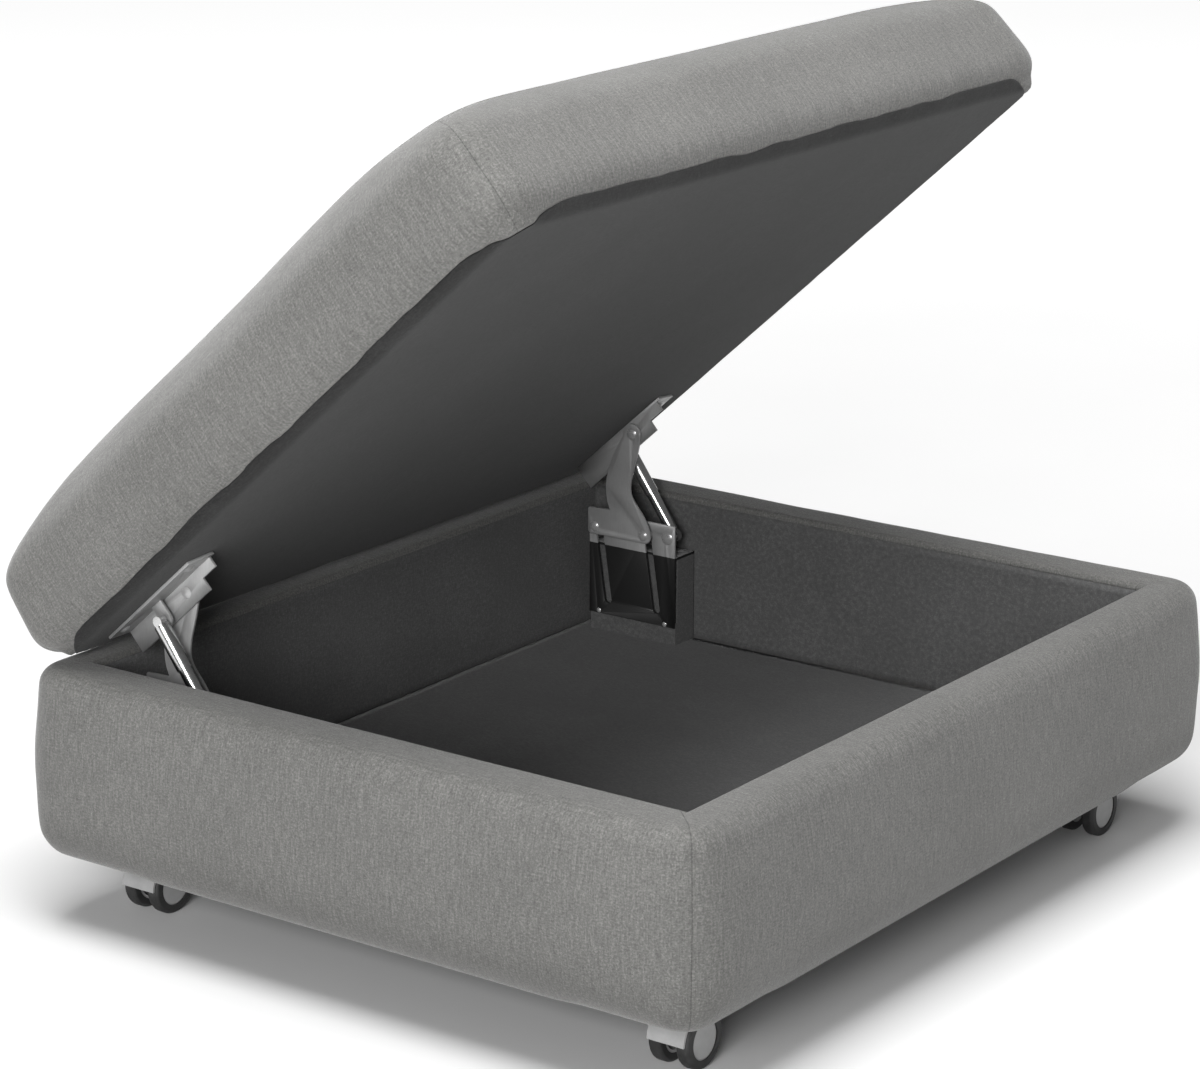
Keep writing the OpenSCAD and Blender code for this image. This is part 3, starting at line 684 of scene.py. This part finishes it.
def fade_between(z, low, high, over):
    """1 between the heights low and high, falling to 0 at them over that distance."""
    return np.clip((z - low) / over, 0, 1) * np.clip((high - z) / over, 0, 1)


def press_seam(obj, low, high, depth=1.1 * MM, width=3.2 * MM):
    """A sewn valley down each corner, between the heights low and high."""
    co = points_of(obj)
    shape = np.exp(-(off_diagonal(co) / width) ** 2)
    shape *= fade_between(co[:, 2], low, high, 12 * MM)
    put_points(obj, co - normals_of(obj) * (depth * shape)[:, None])


def dress_base(obj):
    """Swells the base's cloth, held along its seams and where it is stapled, and puts it in place of the
    CAD cover and foam.
    """
    co = points_of(obj)
    across, along = np.abs(co[:, 0]), np.abs(co[:, 1] - mid_y)
    past_inner = np.maximum(across - inner_w, along - inner_d)
    hidden = (across < panel_hi.x + 2 * MM) & (along < end_hi.y - mid_y + 2 * MM)
    under = co[:, 2] < base_z + 3 * MM
    seam = (off_diagonal(co) < 5 * MM) & (co[:, 2] < rim_z - 12 * MM)
    pinned = np.where(hidden | under | (past_inner < 14 * MM), 1.0, np.where(seam, 0.3, 0.0))
    swell(obj, pinned, 3.0, 4 * MM, 10)
    co = points_of(obj)
    behind = hidden & (co[:, 2] < rim_z - LIP - 2 * MM)
    free = np.clip(past_inner / (16 * MM), 0, 1)
    free *= np.clip((co[:, 2] - base_z) / (16 * MM), 0, 1)
    free[behind] = 0
    lift_by = 1.1 * MM * waves(co, 5, 1) + 0.6 * MM * waves(co, 13, 2)
    put_points(obj, co + normals_of(obj) * (lift_by * free)[:, None])
    refine(obj)
    press_seam(obj, base_z + 6 * MM, rim_z - 10 * MM)
    remember_place(obj)
    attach(obj, "root")
    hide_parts("base_cover", "end_foam", "side_foam")


# ---------------------------------------------------------------- the lid cushion
LID_T = 158 * MM
LID_SIDE = 82 * MM
LID_CORNER = 48 * MM
LID_INSET = 1.5 * MM
LID_BULGE = 8 * MM
LID_CROWN_UP = 5 * MM
CROWN_IN = 160 * MM
CROWN_POWER = 2.3
UNDER_R = 30 * MM
UNDER_GAP = 1.3 * MM
UNDER_RINGS = 8
CROWN_RINGS = 20
BOARD_IN = 24 * MM
CLOTH_IN = 13 * MM
SHEET_T = 0.9 * MM
LID_BACK = 4 * MM
lid_mid_y = mid_y + LID_BACK


def lid_blank(inset):
    """The closed cushion's outer form, shrunk by inset, as a loft of rounded rectangles."""
    rings = []
    straight = (24, 28)

    def add(back, radius, z):
        out = LID_BULGE * float(hump((z - lid_z) / (LID_SIDE * 1.5), 0.7))
        ring = rounded_ring(half_w - back + out, half_d - back + out, radius + out, straight, 8)
        rings.append([(x, y + lid_mid_y, z) for x, y in ring])

    for k in range(UNDER_RINGS + 1):
        a = math.pi / 2 * k / UNDER_RINGS
        r = UNDER_R - inset
        back = inset + r * (1 - math.sin(a))
        add(back, LID_CORNER - 0.1 * back, lid_z + UNDER_GAP + r * (1 - math.cos(a)))
    crown_h = LID_T - LID_SIDE - inset + LID_CROWN_UP
    for k in range(1, CROWN_RINGS + 1):
        t = (k / CROWN_RINGS) ** 1.5
        back = inset + (CROWN_IN - inset) * t
        up = (1 - (1 - t) ** CROWN_POWER) ** (1 / CROWN_POWER)
        add(back, min(LID_CORNER + 1.25 * back, 0.9 * (half_d - back)), lid_z + LID_SIDE + crown_h * up)
    count = len(rings[0])
    verts = [p for ring in rings for p in ring]
    faces = rings_to_faces(len(rings), count, False)
    faces.append(tuple(range(count))[::-1])
    faces.append(tuple(range((len(rings) - 1) * count, len(rings) * count)))
    return new_object("lid_cushion", verts, faces, UPHOLSTERY)


def lid_cushion():
    """The cushion swelled by cloth simulation, held flat under the lid where the board is."""
    obj = lid_blank(LID_INSET)
    remesh = obj.modifiers.new("remesh", "REMESH")
    remesh.mode = "VOXEL"
    remesh.voxel_size = 7 * MM
    apply_modifiers(obj)
    co = points_of(obj)
    off_edge = np.minimum(half_w - np.abs(co[:, 0]), half_d - np.abs(co[:, 1] - mid_y))
    board = (co[:, 2] < lid_z + 8 * MM) & (off_edge > BOARD_IN)
    swell(obj, np.where(board, 1.0, 0.0), 4.0, 9 * MM, 40)
    settle = obj.modifiers.new("settle", "SMOOTH")
    settle.factor = 0.5
    settle.iterations = 10
    apply_modifiers(obj)
    co = points_of(obj)
    height = co[:, 2] - lid_z
    free = np.clip(height / (20 * MM), 0, 1)
    lift_by = 1.6 * MM * waves(co, 4, 3) + 0.7 * MM * waves(co, 11, 4)
    # Small gathers where the cloth is pulled under the lower edge and stapled
    gather = np.exp(-((height - 14 * MM) / (22 * MM)) ** 2)
    turn = np.arctan2((co[:, 1] - mid_y) / half_d, co[:, 0] / half_w)
    pulls = waves(on_circle(turn, 8), 1.6, 6)
    lift_by = lift_by * free + 1.3 * MM * pulls * gather
    co += normals_of(obj) * lift_by[:, None]
    co[board, 2] = lid_z + UNDER_GAP
    put_points(obj, co)
    refine(obj)
    press_seam(obj, lid_z + 10 * MM, lid_z + LID_T - 40 * MM)
    # Nothing hangs lower than the closed lid's underside, so that it clears the rim
    co = points_of(obj)
    co[:, 2] = np.maximum(co[:, 2], lid_z + 0.3 * MM)
    put_points(obj, co)
    return obj


def underside_of(cushion, verts, rings):
    """The height at which a line straight up through each point meets the cushion."""
    tree = BVHTree.FromObject(cushion, bpy.context.evaluated_depsgraph_get())
    height = np.empty(len(verts))
    for i, (x, y, _) in enumerate(verts):
        hit = tree.ray_cast(Vector((x, y, lid_z - 0.2)), Vector((0, 0, 1)))[0]
        height[i] = hit.z if hit else lid_z + UNDER_R
    # A ray that slips between two faces is put right from the points beside it
    grid = height.reshape(rings, -1)
    return np.median([np.roll(grid, k, axis=1) for k in (-1, 0, 1)], axis=0).ravel()


def under_cloth(cushion):
    """The dark cloth under the lid, laid up over the lower roll of the cushion with a gathered edge."""
    rings = 46
    straight, turn = (70, 84), 26
    outer = rounded_ring(half_w - CLOTH_IN, half_d - CLOTH_IN, 84 * MM, straight, turn)
    inner = rounded_ring(half_w - 412 * MM, half_d - 412 * MM, 6 * MM, straight, turn)
    count = len(outer)
    round_it = np.arange(count) * 2 * math.pi / count
    scallop = waves(on_circle(round_it, 9), 1.0, 9)
    fine = waves(on_circle(round_it, 30), 1.0, 10)
    inward = -outer / np.linalg.norm(outer, axis=1)[:, None]
    outer = outer + inward * (3.0 * MM * scallop + 1.6 * MM * np.abs(fine))[:, None]
    verts = []
    for t in np.linspace(0, 1, rings) ** 1.5:
        verts += [(x, y + lid_mid_y, 0) for x, y in outer * (1 - t) + inner * t]
    verts = np.array(verts)
    rest_on = underside_of(cushion, verts, rings)
    ripple = 0.5 * MM * waves(verts, 26, 12)
    laid = rest_on - 0.6 * SHEET_T + 0.3 * np.minimum(ripple, 0)
    verts[:, 2] = np.maximum(laid, lid_z + 0.5 * SHEET_T)
    faces = rings_to_faces(rings, count, False)
    faces.append(tuple(range((rings - 1) * count, rings * count)))
    obj = new_object("lid_under_cloth", verts, faces, UNDERCLOTH)
    thicken(obj, SHEET_T)
    return obj


def open_up(obj):
    """Carries a piece from the closed lid to the open one."""
    obj.data.transform(OPEN)
    obj.data.update()


# ---------------------------------------------------------------- linings and eased plates
FELT_T = 1.6 * MM
FELT_CORNER = 5 * MM


def wall_felt():
    """Felt stretched over the four inner walls, one sheet with soft corners."""
    straight, turn = (60, 72), 6
    rows = 18
    low, high = lining_lo.z + 1 * MM, rim_z - LIP - 0.4 * MM
    inner = rounded_ring(inner_w + 0.3 * MM, inner_d + 0.3 * MM, FELT_CORNER, straight, turn)
    outer = rounded_ring(inner_w + FELT_T, inner_d + FELT_T, FELT_CORNER + FELT_T, straight, turn)
    count = len(inner)
    heights = [high + (low - high) * k / rows for k in range(rows + 1)]
    verts = [(x, y + mid_y, z) for z in heights for x, y in inner]
    verts += [(x, y + mid_y, z) for z in heights[::-1] for x, y in outer]
    obj = new_object("wall_lining_felt", verts, rings_to_faces(2 * rows + 2, count, True), FELT)
    co = points_of(obj)
    inside = np.arange(len(co)) < (rows + 1) * count
    fade = fade_between(co[:, 2], low, high, 20 * MM)
    move = (0.9 * MM * waves(co, 9, 20) - 0.4 * MM) * fade * inside
    put_points(obj, co + normals_of(obj) * move[:, None])
    return obj


def floor_felt():
    """The felt laid on the storage floor."""
    nx, ny = 80, 68
    hx, hy = floor_hi.x - 1.2 * MM, inner_d - 1.2 * MM
    z = floor_hi.z - FELT_T / 2
    verts = [(-hx + 2 * hx * i / nx, -hy + 2 * hy * j / ny + mid_y, z)
             for j in range(ny + 1) for i in range(nx + 1)]
    row = nx + 1
    faces = [(j * row + i, j * row + i + 1, (j + 1) * row + i + 1, (j + 1) * row + i)
             for j in range(ny) for i in range(nx)]
    obj = new_object("floor_lining_felt", verts, faces, FELT)
    co = points_of(obj)
    co[:, 2] += 0.5 * MM * waves(co, 8, 30) + 0.2 * MM
    put_points(obj, co)
    thicken(obj, FELT_T)
    return obj


def softened(name, width, source, material):
    """A copy of a CAD plate with its long edges eased, as pressed and tumbled steel has."""
    obj = NODES[source].copy()
    obj.data = NODES[source].data.copy()
    obj.name = name
    obj.parent = None
    for key in [k for k in obj.keys() if k.startswith("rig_")]:
        del obj[key]
    bpy.context.scene.collection.objects.link(obj)
    mesh = bmesh.new()
    mesh.from_mesh(obj.data)
    bmesh.ops.remove_doubles(mesh, verts=mesh.verts, dist=0.01 * MM)
    bmesh.ops.dissolve_limit(mesh, angle_limit=math.radians(0.5), verts=mesh.verts, edges=mesh.edges)
    mesh.to_mesh(obj.data)
    mesh.free()
    if "custom_normal" in obj.data.attributes:
        obj.data.attributes.remove(obj.data.attributes["custom_normal"])
    bevel = obj.modifiers.new("ease", "BEVEL")
    bevel.width = width
    bevel.segments = 2
    bevel.limit_method = "ANGLE"
    bevel.angle_limit = math.radians(40)
    bevel.harden_normals = True
    apply_modifiers(obj)
    obj.data.materials.clear()
    obj.data.materials.append(material)
    return obj


def ease(node, material, body):
    """Puts a plate with eased, light-catching edges in place of the CAD node's sharp one."""
    piece = softened(f"{node}_pressed", 0.7 * MM, node, material)
    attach(piece, body)
    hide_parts(node)


# ---------------------------------------------------------------- the floor
GLOW_FROM = 1.0
GLOW_OVER = 3.0


def paper_floor():
    """A sheet of pale paper that grows lighter away from the ottoman, as a lit studio cove does."""
    obj = new_object("floor", [(-30, -30, 0), (30, -30, 0), (30, 30, 0), (-30, 30, 0)], [(0, 1, 2, 3)])
    s = Shader("floor_paper", grey(241), 0.9)
    p = s.object_place()
    s.colour(s.ramp(s.noise(p, 3.0), [(0.3, grey(240)), (0.7, grey(242))]))
    away = s.tree.nodes.new("ShaderNodeVectorMath")
    away.operation = "LENGTH"
    s.feed(away.inputs[0], p)
    glow = s.math("DIVIDE", s.math("SUBTRACT", away.outputs["Value"], GLOW_FROM), GLOW_OVER, clamp=True)
    s.feed(s.bsdf.inputs["Emission Strength"], s.math("MULTIPLY", glow, 0.75))
    s.bsdf.inputs["Emission Color"].default_value = (1, 1, 1, 1)
    obj.data.materials.append(s.material)
    return obj


# ---------------------------------------------------------------- the scene, put together
paper_floor()

dress_base(base_upholstery())

cushion = lid_cushion()
remember_place(cushion)
cloth = under_cloth(cushion)
remember_place(cloth)
open_up(cushion)
open_up(cloth)
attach(cushion, "lid")
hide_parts("lid_cover", "lid_foam")
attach(cloth, "lid")
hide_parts("lid_dust_cloth")

walls = wall_felt()
remember_place(walls)
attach(walls, "root")
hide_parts("wall_lining")

laid = floor_felt()
remember_place(laid)
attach(laid, "root")
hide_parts("floor_lining")

for side in SIDES:
    ease(f"guide_plate_{side}", GUIDE, "root")
    ease(f"lift_arm_{side}", SATIN, f"arm_{side}")
    ease(f"lid_bracket_{side}", SATIN, "lid")


def both_sides(*names):
    return [f"{name}_{side}" for side in SIDES for name in names]


def all_wheels(name):
    return [f"{name}_{corner}_{place}" for corner in CORNERS for place in ("outer", "inner")]


paint(["front_panel", "rear_panel", "left_panel", "right_panel", "floor_panel", "lid_board"], TIMBER)
paint(["hinge_blocks"], BLOCK_FELT)
paint(["base_cover", "lid_cover"], UPHOLSTERY)
paint(["end_foam", "side_foam", "lid_foam"], FOAM)
paint(["wall_lining", "floor_lining", "base_dust_cover", "lid_dust_cloth"], CAD_CLOTH)
paint(both_sides("guide_plate", "lift_arm", "lid_bracket") + ["caster_plates"], SATIN)
paint(both_sides("spring_cylinder", "spring_rod"), BRIGHT)
paint(both_sides("arm_rivets", "spring_stud"), PLATED)
paint(["lid_screws", "guide_screws", "caster_screws"], PLATED)
paint([f"caster_hood_{corner}" for corner in CORNERS], CASTER_GREY)
paint([f"caster_axle_{corner}" for corner in CORNERS], BRIGHT)
paint(all_wheels("tyre"), TYRE)
paint(all_wheels("hub"), CASTER_GREY)
